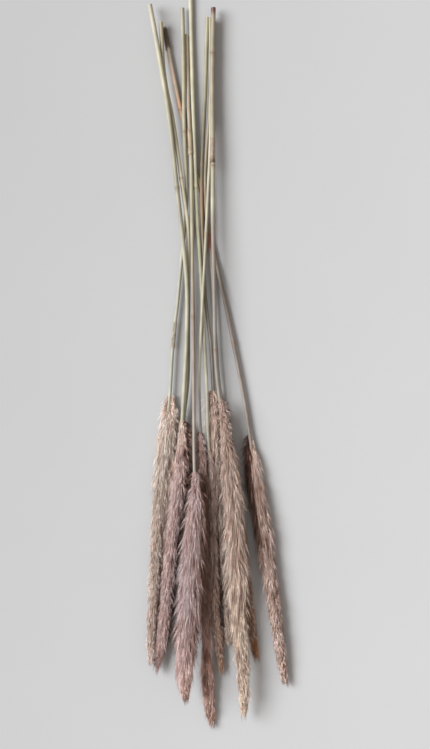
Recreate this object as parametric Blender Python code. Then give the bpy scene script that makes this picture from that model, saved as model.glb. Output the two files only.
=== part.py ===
"""A bunch of dried fountain grass, lying on a flat surface.

Ten cut culms lie across each other. Each runs on as the rachis inside its own plume, and some
still wear a remnant of leaf sheath. Metres, +Z up, cut ends towards +Y, plumes towards -Y,
with the origin at the bottom centre of the bunch.
"""

import math
from itertools import combinations

import bmesh
import bpy
import numpy as np
from mathutils import Vector
from mathutils.geometry import interpolate_bezier

MM = 0.001

# How finely a stem is divided along its length, and the sides of each kind of piece
STATION = 22 * MM
CLASH_STEP = 2 * MM
ROUTE_STEPS = 12
CULM_SIDES = 8
PLUME_SIDES = 12

# Culms: thickness left at the plume's base and at the rachis' end, as shares of the cut end's
NECK_SHARE = 0.8
RACHIS_SHARE = 0.4
JOINT_SWELLING = 0.35 * MM
JOINT_HALF_LENGTH = 2.5 * MM

# Plumes: the firm core's outline, as shares of the plume's length and of its widest radius
PLUME_OUTLINE = ((0, 0.5), (0.12, 0.8), (0.4, 1), (0.7, 0.9), (0.9, 0.6), (1, 0.12))
BORE_END_STATIONS = 2

# Leaf sheath remnants, and the gap left wherever two pieces lie against each other
SHEATH_WALL = 0.4 * MM
GAP = 0.35 * MM

# What bends a stem as it lies, in SI units: the grass' stiffness, its pithy culm's density and
# a plume's weight per metre. Steadying and softness keep the sums solvable and move nothing
GRASS_MODULUS = 8e9
CULM_DENSITY = 400
PLUME_WEIGHT = 0.07
GRAVITY = 9.81
STEADYING = 1e-4
SOFTNESS = 1e-6
LEAST_PUSH = 1e-9
SETTLED = 0.01 * MM

# Colours, and how matt each kind of piece is
CULM_ROUGHNESS = 0.55
PLUME_ROUGHNESS = 0.9
SHEATH_ROUGHNESS = 0.7
SMOOTH_BELOW = math.radians(50)
CREAM = (0.65, 0.6, 0.46)
GREEN_CREAM = (0.54, 0.53, 0.38)
TAN = (0.45, 0.38, 0.28)
PINK_TAN = (0.41, 0.32, 0.28)

# Each stem, numbered by its plume's place from the left. All lengths are in millimetres: the
# culm's radius at the cut, where the plume starts and its core's radius, the route in plan from
# the cut end to the plume's tip, the distances along it of the culm's joints, and of each sheath
STEMS = {
    1: dict(
        culm=1.5,
        plume_at=-38,
        core=5.5,
        route=[
            (-33.5, 337), (-32.5, 286), (-31.5, 220), (-29.5, 163), (-30.5, 140),
            (-33.5, 106), (-38, 58), (-42.5, 16), (-46, -39), (-52, -84),
            (-56.5, -141), (-60.5, -208), (-62.5, -265), (-63, -291),
        ],
        joints=[118, 312],
        sheaths=[(300, 326)],
        culm_colour=CREAM,
        plume_colour=(0.46, 0.36, 0.3),
        sheath_colour=(0.56, 0.4, 0.34),
    ),
    2: dict(
        culm=1.5,
        plume_at=-75,
        core=3.5,
        route=[
            (-54, 323), (-50.5, 272), (-42.5, 229), (-33, 163), (-28.5, 130),
            (-27.5, 87), (-27.5, 30), (-28.5, -22), (-35.5, -75), (-45, -132),
            (-52, -189), (-56, -236), (-60, -279),
        ],
        joints=[150],
        sheaths=[],
        culm_colour=CREAM,
        plume_colour=(0.3, 0.22, 0.18),
    ),
    3: dict(
        culm=1.7,
        plume_at=-46,
        core=5.2,
        route=[
            (-64.5, 339), (-56.5, 296), (-45.5, 228), (-38.5, 166), (-33, 115),
            (-29, 68), (-29.5, 16), (-33, -46), (-35.5, -94), (-40.5, -141),
            (-46.5, -198), (-51, -250), (-58.5, -297),
        ],
        joints=[176],
        sheaths=[],
        culm_colour=GREEN_CREAM,
        plume_colour=(0.34, 0.25, 0.24),
    ),
    4: dict(
        culm=1.4,
        plume_at=-96,
        core=9.5,
        route=[
            (-29.5, 312), (-28, 253), (-25.5, 191), (-24, 115), (-23, 39),
            (-22.5, -37), (-22, -96), (-20.5, -136), (-23.5, -184), (-26, -227),
            (-30.5, -274), (-29.5, -323),
        ],
        joints=[92, 270],
        sheaths=[(92, 118)],
        culm_colour=PINK_TAN,
        plume_colour=(0.32, 0.24, 0.23),
        sheath_colour=(0.5, 0.32, 0.18),
    ),
    5: dict(
        culm=1.2,
        plume_at=-65,
        core=5,
        route=[
            (-7, 327), (-6.5, 267), (-7, 210), (-9.5, 149), (-12.5, 92),
            (-15.5, 35), (-17.5, -18), (-16, -65), (-13.5, -113), (-12.5, -189),
            (-10.5, -265), (-8.5, -312), (-5, -351),
        ],
        joints=[205],
        sheaths=[],
        culm_colour=CREAM,
        plume_colour=(0.24, 0.16, 0.14),
    ),
    6: dict(
        culm=1.6,
        plume_at=-75,
        core=3.8,
        route=[
            (-26, 351), (-24, 267), (-22, 206), (-20, 144), (-16.5, 89),
            (-13.5, 35), (-10.5, -27), (-9, -75), (-5.5, -113), (-5, -170),
            (-3, -236), (1, -274), (4.5, -300),
        ],
        joints=[186],
        sheaths=[],
        culm_colour=GREEN_CREAM,
        plume_colour=(0.26, 0.17, 0.13),
    ),
    7: dict(
        culm=1.5,
        plume_at=-26,
        core=4.6,
        route=[
            (-9.5, 328), (-11.5, 267), (-14, 206), (-15, 163), (-14, 106),
            (-11, 54), (-6.5, 19), (-4.5, -22), (-2, -79), (2.5, -141),
            (7.5, -203), (10.5, -250), (10, -272),
        ],
        joints=[140],
        sheaths=[],
        culm_colour=TAN,
        plume_colour=(0.4, 0.31, 0.25),
    ),
    8: dict(
        culm=1.7,
        plume_at=-26,
        core=8.4,
        route=[
            (-4, 336), (-5, 258), (-4.5, 201), (-4.5, 139), (-3, 68),
            (-2, 11), (1, -27), (8, -79), (15, -132), (18.5, -189),
            (20.5, -246), (23.5, -293), (24.5, -340),
        ],
        joints=[43, 150, 325],
        sheaths=[(124, 150)],
        culm_colour=PINK_TAN,
        plume_colour=(0.42, 0.33, 0.27),
        sheath_colour=(0.45, 0.3, 0.26),
    ),
    9: dict(
        culm=1.3,
        plume_at=-42,
        core=4.2,
        route=[
            (-4.5, 324), (-7, 248), (-11, 191), (-11, 149), (-6, 96),
            (-2.5, 39), (1.5, -18), (8, -65), (15, -122), (22.5, -174),
            (29, -227), (34.5, -269), (37.5, -287),
        ],
        joints=[160],
        sheaths=[],
        culm_colour=TAN,
        plume_colour=(0.16, 0.1, 0.08),
    ),
    10: dict(
        culm=1.6,
        plume_at=-80,
        core=6,
        route=[
            (-51, 319), (-44, 282), (-35.5, 241), (-26, 203), (-15.5, 163),
            (-4, 106), (9, 49), (20, -8), (28.5, -56), (35.5, -103),
            (44, -160), (52, -217), (60.5, -279), (66, -310),
        ],
        joints=[80, 308],
        sheaths=[(2, 24), (204, 224)],
        culm_colour=PINK_TAN,
        plume_colour=(0.3, 0.21, 0.16),
        sheath_colour=(0.14, 0.08, 0.05),
    ),
}

# The order in which they were laid down, and the one place where two are woven the other way:
# plume 1 lies over plume 2, though its culm passes under the other's
LAID = (10, 7, 9, 1, 2, 3, 6, 5, 8, 4)
WOVEN = {(1, 2): -40 * MM}


def smooth_route(points):
    """A smooth curve through the route's points, in metres."""
    p = [Vector((x, y, 0)) * MM for x, y in points]
    p = [2 * p[0] - p[1], *p, 2 * p[-1] - p[-2]]
    curve = []
    for before, start, end, after in zip(p, p[1:], p[2:], p[3:]):
        lean_out, lean_in = (end - before) / 6, (after - start) / 6
        curve += interpolate_bezier(start, start + lean_out, end - lean_in, end, ROUTE_STEPS)[:-1]
    return np.array([v[:2] for v in [*curve, p[-2]]])


class Stem:
    """One stem: its stations from the cut end to the tip, and how thick it is along them."""

    def __init__(self, number, grass):
        self.number, self.grass = number, grass
        curve = smooth_route(grass["route"])
        along = np.append(0, np.cumsum(np.linalg.norm(np.diff(curve, axis=0), axis=1)))
        self.count = round(along[-1] / STATION) + 1
        self.s = np.linspace(0, along[-1], self.count)
        self.step = self.s[1]
        self.path = np.stack([np.interp(self.s, along, c) for c in (*curve.T, 0 * along)], 1)
        self.plume_from = int(abs(self.path[:, 1] - grass["plume_at"] * MM).argmin())
        self.rachis_to = self.count - 1 - BORE_END_STATIONS

    def culm_radius(self, s):
        """The culm's and the rachis' radius, without the joints."""
        neck, end = self.s[self.plume_from], self.s[self.rachis_to]
        shares = np.interp(s, (0, neck, end), (1, NECK_SHARE, RACHIS_SHARE))
        return self.grass["culm"] * MM * shares

    def plume_radius(self, s):
        """The core's radius, 0 before the plume starts."""
        start, end = self.s[self.plume_from], self.s[-1]
        share = (s - start) / (end - start)
        radius = self.grass["core"] * MM * np.interp(share, *zip(*PLUME_OUTLINE))
        return np.where(share >= 0, radius, 0)

    def joint_rings(self):
        """(distance, radius) at and beside each swollen joint."""
        for joint in self.grass["joints"]:
            for offset, swelling in ((-1, 0), (0, JOINT_SWELLING), (1, 0)):
                s = joint * MM + offset * JOINT_HALF_LENGTH
                yield s, float(self.culm_radius(s)) + swelling

    def outer_radius(self, s):
        """How far the stem reaches from its centre line at any distance."""
        widest = np.maximum(self.culm_radius(s), self.plume_radius(s))
        for joint in self.grass["joints"]:
            near = abs(s - joint * MM) < JOINT_HALF_LENGTH
            widest = np.where(near, widest + JOINT_SWELLING, widest)
        for start, end in self.grass["sheaths"]:
            wrapped = (s >= start * MM) & (s <= end * MM)
            widest = np.where(wrapped, self.culm_radius(s) + GAP + SHEATH_WALL, widest)
        return widest

    def at(self, s):
        """The centre line's point and direction at a distance from the cut end."""
        ahead = np.gradient(self.path, axis=0)
        point = Vector([np.interp(s, self.s, c) for c in self.path.T])
        return point, Vector([np.interp(s, self.s, c) for c in ahead.T]).normalized()

    def shares(self, s):
        """What share each station has of the height at a distance between two of them."""
        row = np.zeros(self.count)
        k = min(int(s / self.step), self.count - 2)
        t = s / self.step - k
        row[k], row[k + 1] = 1 - t, t
        return row


def contacts(lower, upper):
    """Where two stems cross in plan: (distance on each, least height between their centres)."""
    s, t = (np.arange(0, stem.s[-1], CLASH_STEP) for stem in (lower, upper))
    plan_s, plan_t = (
        np.stack([np.interp(d, stem.s, c) for c in stem.path.T[:2]], 1)
        for stem, d in ((lower, s), (upper, t))
    )
    apart = np.linalg.norm(plan_s[:, None] - plan_t[None], axis=2)
    reach = lower.outer_radius(s)[:, None] + upper.outer_radius(t)[None] + GAP
    height = np.sqrt(np.maximum(reach**2 - apart**2, 0))
    for k, m in enumerate(height.argmax(1)):
        if height[k, m] > 0:
            yield s[k], t[m], height[k, m]


def resting_loads(yielding, shortfall):
    """The push at each contact that leaves no contact short and none pulling."""
    push = np.zeros(len(shortfall))
    held = []
    while True:
        gap = yielding @ push - shortfall
        gap[held] = 0
        if gap.min() > -SETTLED:
            return push
        held.append(int(gap.argmin()))
        while True:
            trial = np.linalg.solve(yielding[np.ix_(held, held)], shortfall[held])
            if trial.min() > 0:
                break
            now = push[held]
            share = min(p / (p - q) for p, q in zip(now, trial) if q <= 0)
            push[held] = now + share * (trial - now)
            let_go = [h for h in held if push[h] <= LEAST_PUSH]
            push[let_go] = 0
            held = [h for h in held if h not in let_go]
        push[held] = trial


def lay_down(stems):
    """Raises each stem's path to where it rests: an elastic rod on the surface and on the others."""
    first = dict(zip(stems, np.cumsum([0, *(stem.count for stem in stems.values())])))
    total = sum(stem.count for stem in stems.values())
    stiffness = np.eye(total) * STEADYING
    weight = np.zeros(total)
    rows, least = [], []

    def row(*parts):
        filled = np.zeros(total)
        for number, sign, s in parts:
            begin = first[number]
            filled[begin : begin + stems[number].count] += sign * stems[number].shares(s)
        return filled

    for number, stem in stems.items():
        own = slice(first[number], first[number] + stem.count)
        culm = stem.culm_radius(stem.s)
        bend = np.diff(np.eye(stem.count), 2, axis=0) / stem.step**2
        resists = GRASS_MODULUS * np.pi / 4 * culm[1:-1] ** 4 * stem.step
        stiffness[own, own] += bend.T @ (resists[:, None] * bend)
        in_plume = np.arange(stem.count) >= stem.plume_from
        per_metre = CULM_DENSITY * GRAVITY * np.pi * culm**2 + PLUME_WEIGHT * in_plume
        weight[own] = per_metre * stem.step
        sheath_ends = [end * MM for ends in stem.grass["sheaths"] for end in ends]
        for s in (*stem.s, *sheath_ends):
            rows.append(row((number, 1, s)))
            least.append(float(stem.outer_radius(s)))
    order = {number: place for place, number in enumerate(LAID)}
    for a, b in combinations(sorted(stems, key=order.get), 2):
        for s, t, height in contacts(stems[a], stems[b]):
            woven_from = WOVEN.get((a, b))
            y = stems[a].at(s)[0].y
            sign = -1 if woven_from is not None and y < woven_from else 1
            rows.append(row((b, sign, t), (a, -sign, s)))
            least.append(height)
    rows, least = np.array(rows), np.array(least)
    gives = np.linalg.inv(stiffness)
    yielding = rows @ gives @ rows.T + np.eye(len(rows)) * SOFTNESS
    push = resting_loads(yielding, least + rows @ gives @ weight)
    heights = gives @ (rows.T @ push - weight)
    for number, stem in stems.items():
        stem.path[:, 2] = heights[first[number] : first[number] + stem.count]


def material(name, colour, roughness):
    """A plain material of one piece."""
    made = bpy.data.materials.new(name)
    made.use_nodes = True
    shader = made.node_tree.nodes["Principled BSDF"]
    shader.inputs["Base Color"].default_value = (*colour, 1)
    shader.inputs["Roughness"].default_value = roughness
    shader.inputs["Metallic"].default_value = 0
    return made


def turned(name, stem, profile, sides, colour, roughness, ring=False):
    """A solid turned round the stem's centre line from (distance, radius) points. A radius of 0
    closes an end, and ring joins the last point to the first."""
    bm = bmesh.new()
    loops = []
    for s, radius in profile:
        point, ahead = stem.at(s)
        side = ahead.cross(Vector((0, 0, 1))).normalized()
        up = side.cross(ahead)
        angles = [2 * math.pi * k / sides for k in range(sides if radius else 1)]
        around = [math.cos(a) * side + math.sin(a) * up for a in angles]
        loops.append([bm.verts.new(point + radius * out) for out in around])
    pairs = list(zip(loops, loops[1:])) + ([(loops[-1], loops[0])] if ring else [])
    for one, two in pairs:
        for k in range(sides):
            if len(one) == 1:
                bm.faces.new((one[0], two[k], two[k - 1]))
            elif len(two) == 1:
                bm.faces.new((one[k - 1], one[k], two[0]))
            else:
                bm.faces.new((one[k - 1], one[k], two[k], two[k - 1]))
    bmesh.ops.recalc_face_normals(bm, faces=bm.faces)
    mesh = bpy.data.meshes.new(name)
    bm.to_mesh(mesh)
    bm.free()
    mesh.shade_smooth()
    mesh.set_sharp_from_angle(angle=SMOOTH_BELOW)
    mesh.materials.append(material(name, colour, roughness))
    bpy.context.collection.objects.link(bpy.data.objects.new(name, mesh))


def make_culm(stem):
    """The culm and its rachis, in one piece as it grew, cut square at the near end."""
    rings = [(s, float(stem.culm_radius(s))) for s in stem.s[: stem.rachis_to + 1]]
    joints = list(stem.joint_rings())
    clear = [
        (s, r) for s, r in rings if all(abs(s - joint) > JOINT_HALF_LENGTH for joint, _ in joints)
    ]
    rings = sorted(clear + joints)
    profile = [(rings[0][0], 0), *rings, (rings[-1][0], 0)]
    name = f"culm_{stem.number:02}"
    turned(name, stem, profile, CULM_SIDES, stem.grass["culm_colour"], CULM_ROUGHNESS)


def make_plume(stem):
    """The plume's firm core of packed spikelets, open down the middle for the rachis."""
    inside = stem.s[stem.plume_from : stem.rachis_to + 1]
    bore = [(s, float(stem.culm_radius(s)) + GAP) for s in inside]
    bore.append((inside[-1] + GAP, bore[-1][1]))
    bore.append((inside[-1] + 2 * GAP, 0))
    outside = [(s, float(stem.plume_radius(s))) for s in stem.s[stem.plume_from : -1]]
    profile = [*reversed(bore), *outside, (stem.s[-1], 0)]
    name = f"plume_{stem.number:02}"
    turned(name, stem, profile, PLUME_SIDES, stem.grass["plume_colour"], PLUME_ROUGHNESS)


def make_sheaths(stem):
    """Dry remnants of leaf sheath, each wrapped once round its culm."""
    for k, (start, end) in enumerate(stem.grass["sheaths"]):
        s = [start * MM, *(x for x in stem.s if start * MM < x < end * MM), end * MM]
        inner = [(x, float(stem.culm_radius(x)) + GAP) for x in s]
        outer = [(x, r + SHEATH_WALL) for x, r in inner]
        profile = [*inner, *reversed(outer)]
        name = f"sheath_{stem.number:02}" + "ab"[k] * (len(stem.grass["sheaths"]) > 1)
        colour = stem.grass["sheath_colour"]
        turned(name, stem, profile, CULM_SIDES, colour, SHEATH_ROUGHNESS, ring=True)


for old in list(bpy.data.objects):
    bpy.data.objects.remove(old)

bunch = {number: Stem(number, grass) for number, grass in STEMS.items()}
lay_down(bunch)
for stem in bunch.values():
    make_culm(stem)
    make_plume(stem)
    make_sheaths(stem)
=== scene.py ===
"""The looks of a bunch of dried fountain grass that lies on a pale surface.

The file follows the grass as it grew: the culms, what is left of their leaf sheaths, and the
plumes with their spikelets and bristles. The surface, the light and the camera come last.
Metres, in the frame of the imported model: cut ends towards +Y, tips of the plumes towards -Y.
"""

import math
import random

import bmesh
import bpy
import numpy as np
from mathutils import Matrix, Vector


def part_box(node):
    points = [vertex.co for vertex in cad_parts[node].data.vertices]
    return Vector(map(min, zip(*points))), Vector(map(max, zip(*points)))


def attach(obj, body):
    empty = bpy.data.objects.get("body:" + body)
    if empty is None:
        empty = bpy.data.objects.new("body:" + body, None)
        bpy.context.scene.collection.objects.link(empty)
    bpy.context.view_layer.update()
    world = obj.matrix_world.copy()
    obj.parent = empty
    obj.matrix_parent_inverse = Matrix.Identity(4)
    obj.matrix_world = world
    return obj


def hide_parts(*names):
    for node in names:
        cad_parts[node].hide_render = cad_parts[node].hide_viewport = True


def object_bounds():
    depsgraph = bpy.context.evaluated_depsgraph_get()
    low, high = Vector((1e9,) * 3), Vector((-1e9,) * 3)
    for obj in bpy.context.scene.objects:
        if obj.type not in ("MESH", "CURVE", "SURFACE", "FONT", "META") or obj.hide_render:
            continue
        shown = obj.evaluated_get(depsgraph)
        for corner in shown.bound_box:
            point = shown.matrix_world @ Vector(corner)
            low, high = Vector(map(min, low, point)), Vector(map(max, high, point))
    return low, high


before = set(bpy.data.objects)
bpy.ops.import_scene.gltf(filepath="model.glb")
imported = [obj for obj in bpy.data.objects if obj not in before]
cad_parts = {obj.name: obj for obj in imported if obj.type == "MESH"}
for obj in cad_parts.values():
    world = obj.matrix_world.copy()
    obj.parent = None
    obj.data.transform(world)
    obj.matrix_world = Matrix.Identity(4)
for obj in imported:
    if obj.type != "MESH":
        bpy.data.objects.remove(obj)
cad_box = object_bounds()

# Culms: the ten stems, round and finely ribbed, dried from green to straw and pink. Each is cut
# square and hollow at one end, swells at its joints, and thins out into the plume as its rachis.
MM = 0.001
CULM_SIDES = 24
CULM_STEP = 4 * MM
RIB_DEPTH = 0.03
CULM_FULLNESS = 1.34
# A culm's centre lies at least this many radii above the surface, so that its joints clear it
CLEAR_RADII = 1.25
RING_GAP = 1.2 * MM
JOINT_RINGS_APART = 3 * MM
JOINT_REACH = 7 * MM
JOINT_STEP = 0.5 * MM
# A culm wavers in a few waves, with random rates in radians a metre, each a share of the waver high
CULM_WAVER = 0.12 * MM
WAVES = 3
WAVE_RATES = (20, 60)
WAVE_SHARE = math.pi / 6
CUT_SLANT = 0.25
SMOOTH_BELOW = math.radians(50)
# How much thicker a culm is near a joint, and how dark there: (distance in mm, share)
JOINT_SHAPE = (
    (-4.5, 0), (-2.2, 0.06), (-1.1, 0.2), (-0.4, 0.24), (0, 0.08), (0.5, 0.22), (1.4, 0.12), (4, 0),
)
JOINT_SHADE = ((-4, 0), (-1.5, 0.2), (-0.3, 0.5), (0, 0.75), (0.4, 0.55), (2, 0.25), (6.5, 0))
# The hollow at the cut: (share of the radius, depth in mm) from the rim inwards
CUT_HOLLOW = ((0.94, -0.02), (0.6, 0.04), (0.5, 0.3), (0.4, 1.6))

# Where a culm's points lie round it, as angles
CULM_TURNS = np.arange(CULM_SIDES) * 2 * math.pi / CULM_SIDES
# Each culm's slot in the record, its colours as (share of the way from the cut end, red, green,
# blue), and its joints' colour. The colours hold painted light and shade: culm 7 is darker from 0.16
# to 0.3 as painted shade, where it lies in shadow, and culm 2 from 0.27 to 0.35, culm 4 at its cut
# end, culm 5 from 0.47 to 0.53, culm 10 from 0.04 to 0.12, and culm 6 are paler where other culms
# shade them, as painted light
CULMS = {
    1: ("culm_cream", (
        (0, 0.33, 0.31, 0.23), (0.12, 0.32, 0.29, 0.19), (0.19, 0.34, 0.31, 0.22), (0.26, 0.38, 0.35, 0.24),
        (0.33, 0.32, 0.3, 0.21), (0.41, 0.34, 0.33, 0.26), (1, 0.37, 0.34, 0.29),
    ), (0.21, 0.13, 0.09)),
    2: ("culm_cream", (
        (0, 0.36, 0.31, 0.22), (0.1, 0.38, 0.36, 0.24), (0.2, 0.33, 0.3, 0.2), (0.27, 0.62, 0.57, 0.42),
        (0.35, 0.54, 0.49, 0.36), (0.46, 0.37, 0.33, 0.24), (0.56, 0.28, 0.26, 0.18), (1, 0.33, 0.31, 0.24),
    ), (0.25, 0.17, 0.1)),
    3: ("culm_green", (
        (0, 0.43, 0.4, 0.32), (0.1, 0.42, 0.39, 0.27), (0.2, 0.32, 0.3, 0.22), (0.34, 0.28, 0.26, 0.2),
        (0.41, 0.38, 0.36, 0.26), (1, 0.32, 0.3, 0.24),
    ), (0.23, 0.17, 0.1)),
    4: ("culm_pink", (
        (0, 0.6, 0.53, 0.39), (0.06, 0.55, 0.48, 0.35), (0.12, 0.34, 0.28, 0.2), (0.22, 0.36, 0.33, 0.23),
        (0.32, 0.33, 0.3, 0.21), (0.41, 0.25, 0.2, 0.15), (0.47, 0.22, 0.17, 0.14), (0.56, 0.29, 0.24, 0.2),
        (1, 0.34, 0.3, 0.26),
    ), (0.2, 0.12, 0.08)),
    5: ("culm_cream", (
        (0, 0.33, 0.3, 0.2), (0.1, 0.32, 0.29, 0.2), (0.2, 0.43, 0.39, 0.29), (0.32, 0.36, 0.33, 0.24),
        (0.41, 0.36, 0.33, 0.24), (0.47, 0.52, 0.48, 0.37), (0.53, 0.5, 0.46, 0.36),
        (0.58, 0.3, 0.26, 0.22), (1, 0.31, 0.28, 0.22),
    ), (0.28, 0.21, 0.13)),
    6: ("culm_green", (
        (0, 0.46, 0.44, 0.34), (0.06, 0.48, 0.46, 0.33), (0.14, 0.39, 0.36, 0.26), (0.2, 0.41, 0.39, 0.28),
        (0.24, 0.49, 0.47, 0.34), (0.3, 0.6, 0.6, 0.42), (0.37, 0.44, 0.43, 0.29), (0.51, 0.46, 0.45, 0.32),
        (0.56, 0.36, 0.34, 0.25), (0.61, 0.5, 0.47, 0.38), (1, 0.45, 0.43, 0.36),
    ), (0.23, 0.17, 0.1)),
    7: ("culm_tan", (
        (0, 0.36, 0.33, 0.22), (0.1, 0.29, 0.26, 0.18), (0.16, 0.19, 0.17, 0.1), (0.2, 0.13, 0.11, 0.07),
        (0.27, 0.12, 0.1, 0.06), (0.3, 0.26, 0.16, 0.1), (0.35, 0.22, 0.16, 0.1), (0.44, 0.26, 0.23, 0.17),
        (0.57, 0.21, 0.18, 0.15), (1, 0.26, 0.23, 0.2),
    ), (0.2, 0.13, 0.08)),
    8: ("culm_pink", (
        (0, 0.13, 0.05, 0.04), (0.006, 0.15, 0.06, 0.04), (0.01, 0.29, 0.25, 0.18),
        (0.16, 0.29, 0.25, 0.18), (0.29, 0.37, 0.35, 0.26), (0.34, 0.24, 0.2, 0.17), (0.5, 0.22, 0.2, 0.17),
        (1, 0.31, 0.27, 0.22),
    ), (0.18, 0.11, 0.07)),
    9: ("culm_tan", (
        (0, 0.32, 0.29, 0.2), (0.2, 0.25, 0.21, 0.15), (0.25, 0.21, 0.18, 0.12), (0.35, 0.24, 0.19, 0.13),
        (0.356, 0.3, 0.13, 0.085), (0.376, 0.24, 0.11, 0.07), (0.388, 0.28, 0.22, 0.17),
        (0.4, 0.24, 0.21, 0.15), (0.6, 0.27, 0.23, 0.19), (1, 0.23, 0.2, 0.15),
    ), (0.18, 0.12, 0.08)),
    10: ("culm_pink", (
        (0, 0.33, 0.25, 0.18), (0.04, 0.5, 0.41, 0.32), (0.09, 0.56, 0.43, 0.32), (0.115, 0.5, 0.36, 0.25),
        (0.127, 0.5, 0.27, 0.16), (0.15, 0.4, 0.28, 0.19), (0.2, 0.29, 0.21, 0.15), (0.3, 0.23, 0.17, 0.11),
        (0.4, 0.2, 0.17, 0.13), (0.5, 0.21, 0.17, 0.15), (0.58, 0.27, 0.23, 0.2), (1, 0.28, 0.24, 0.2),
    ), (0.25, 0.14, 0.09)),
}
PITH = (0.38, 0.33, 0.23)
SPECK = (0.12, 0.08, 0.04)
# The straw's fibres, far finer across than along, its patches and specks a metre, and how light
# the fibres and patches make it
FIBRES = (2200, 2200, 40)
FIBRE_LIGHT = (0.78, 1.16)
PATCHES = 45
PATCH_LIGHT = (0.84, 1.12)
SPECKS = 900
SPECK_RANGE = (0.7, 0.76)


def rings_of(node, apart):
    """The middles of a CAD node's rings from the cut end on, and how far each ring reaches."""
    corners = np.array([v.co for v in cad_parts[node].data.vertices])
    corners = corners[np.argsort(-corners[:, 1])]
    breaks = np.flatnonzero(np.diff(-corners[:, 1]) > apart) + 1
    rings = [np.unique(ring.round(7), axis=0) for ring in np.split(corners, breaks)]
    middles = np.array([ring.mean(0) for ring in rings])
    reach = np.array([np.linalg.norm(r - m, axis=1).max() for r, m in zip(rings, middles)])
    return middles, reach


def distances(points):
    """How far along its line each point lies."""
    return np.append(0, np.cumsum(np.linalg.norm(np.diff(points, axis=0), axis=1)))


def along(s, knots, values):
    """The values at distances s, on a smooth curve through those at the knots."""
    slope = np.gradient(values, knots, axis=0)
    k = np.clip(np.searchsorted(knots, s) - 1, 0, len(knots) - 2)
    gap = (knots[k + 1] - knots[k])[:, None]
    t = (s - knots[k])[:, None] / gap
    start = (1 + 2 * t) * (1 - t) ** 2 * values[k] + t * (1 - t) ** 2 * gap * slope[k]
    return start + t**2 * (3 - 2 * t) * values[k + 1] + t**2 * (t - 1) * gap * slope[k + 1]


def culm_line(number):
    """A culm's centre line, its bare radius there and the distances of its joints."""
    middles, reach = rings_of(f"culm_{number:02}", RING_GAP)
    reach = reach * CULM_FULLNESS
    middles[:, 2] = np.maximum(middles[:, 2], reach * CLEAR_RADII + CULM_WAVER)
    s = distances(middles)
    gap = np.diff(s)
    joints = np.flatnonzero((gap[1:] < JOINT_RINGS_APART) & (gap[:-1] < JOINT_RINGS_APART)) + 1
    plain = np.delete(np.arange(len(s)), joints)
    return s[plain], middles[plain], reach[plain], s[joints]


def sides_of(line):
    """The direction of a line at each point, and two directions across it: sideways and up."""
    ahead = np.gradient(line, axis=0)
    ahead /= np.linalg.norm(ahead, axis=1)[:, None]
    side = np.cross(ahead, (0, 0, 1))
    side /= np.linalg.norm(side, axis=1)[:, None]
    return ahead, side, np.cross(side, ahead)


def keep_values(mesh, name, values):
    """Stores a number or a vector for each vertex, for a material or a tree to read."""
    values = np.asarray(values, np.float32)
    kind, key = ("FLOAT", "value") if values.ndim == 1 else ("FLOAT_VECTOR", "vector")
    mesh.attributes.new(name, kind, "POINT").data.foreach_set(key, values.ravel())


def fill(tree, node, inputs):
    """Puts a value, or another node's output, in each of a node's inputs named."""
    for name, value in inputs.items():
        if isinstance(value, bpy.types.NodeSocket):
            tree.links.new(value, node.inputs[name])
        else:
            node.inputs[name].default_value = value


def add(tree, kind, inputs=None, **settings):
    """The outputs of a new node with its settings and inputs."""
    made = tree.nodes.new(kind)
    for name, value in settings.items():
        setattr(made, name, value)
    fill(tree, made, inputs or {})
    return made.outputs


def mixed(tree, way, factor, first, second):
    """Two colours blended, and the colour that comes of it."""
    inputs = {0: factor, 6: first, 7: second}
    return add(tree, "ShaderNodeMix", inputs, data_type="RGBA", blend_type=way)[2]


def ramp(tree, factor, stops):
    """A colour read from stops of (place, red, green, blue)."""
    made = tree.nodes.new("ShaderNodeValToRGB")
    fill(tree, made, {"Fac": factor})
    elements = made.color_ramp.elements
    while len(elements) < len(stops):
        elements.new(1)
    for element, (place, *colour) in zip(elements, stops):
        element.position = place
        element.color = (*colour, 1)
    return made.outputs["Color"]


def spread(tree, value, low, high, start=0, end=1):
    """A value from start to end, made one from low to high."""
    inputs = {"Value": value, "From Min": start, "From Max": end, "To Min": low, "To Max": high}
    return add(tree, "ShaderNodeMapRange", inputs)["Result"]


def kept(tree, name):
    """A vertex value that keep_values stored."""
    return add(tree, "ShaderNodeAttribute", attribute_name=name)


def new_material(name):
    """A new material, its tree and its shader."""
    made = bpy.data.materials.new(name)
    made.use_nodes = True
    return made, made.node_tree, made.node_tree.nodes["Principled BSDF"]


def noise(tree, vector, scale, detail):
    """Noise from 0 to 1."""
    inputs = {"Vector": vector, "Scale": scale, "Detail": detail}
    return add(tree, "ShaderNodeTexNoise", inputs)["Fac"]


def stretched(tree, vector, scale):
    """A place scaled by its own number along each axis."""
    return add(tree, "ShaderNodeMapping", {"Vector": vector, "Scale": scale})[0]


def toned(tree, colour, light):
    """A colour made lighter or darker."""
    return mixed(tree, "MULTIPLY", 1, colour, light)


def relief(tree, height, strength, distance):
    """Fine relief that only catches the light."""
    inputs = {"Height": height, "Strength": strength, "Distance": distance}
    return add(tree, "ShaderNodeBump", inputs)[0]


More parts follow.
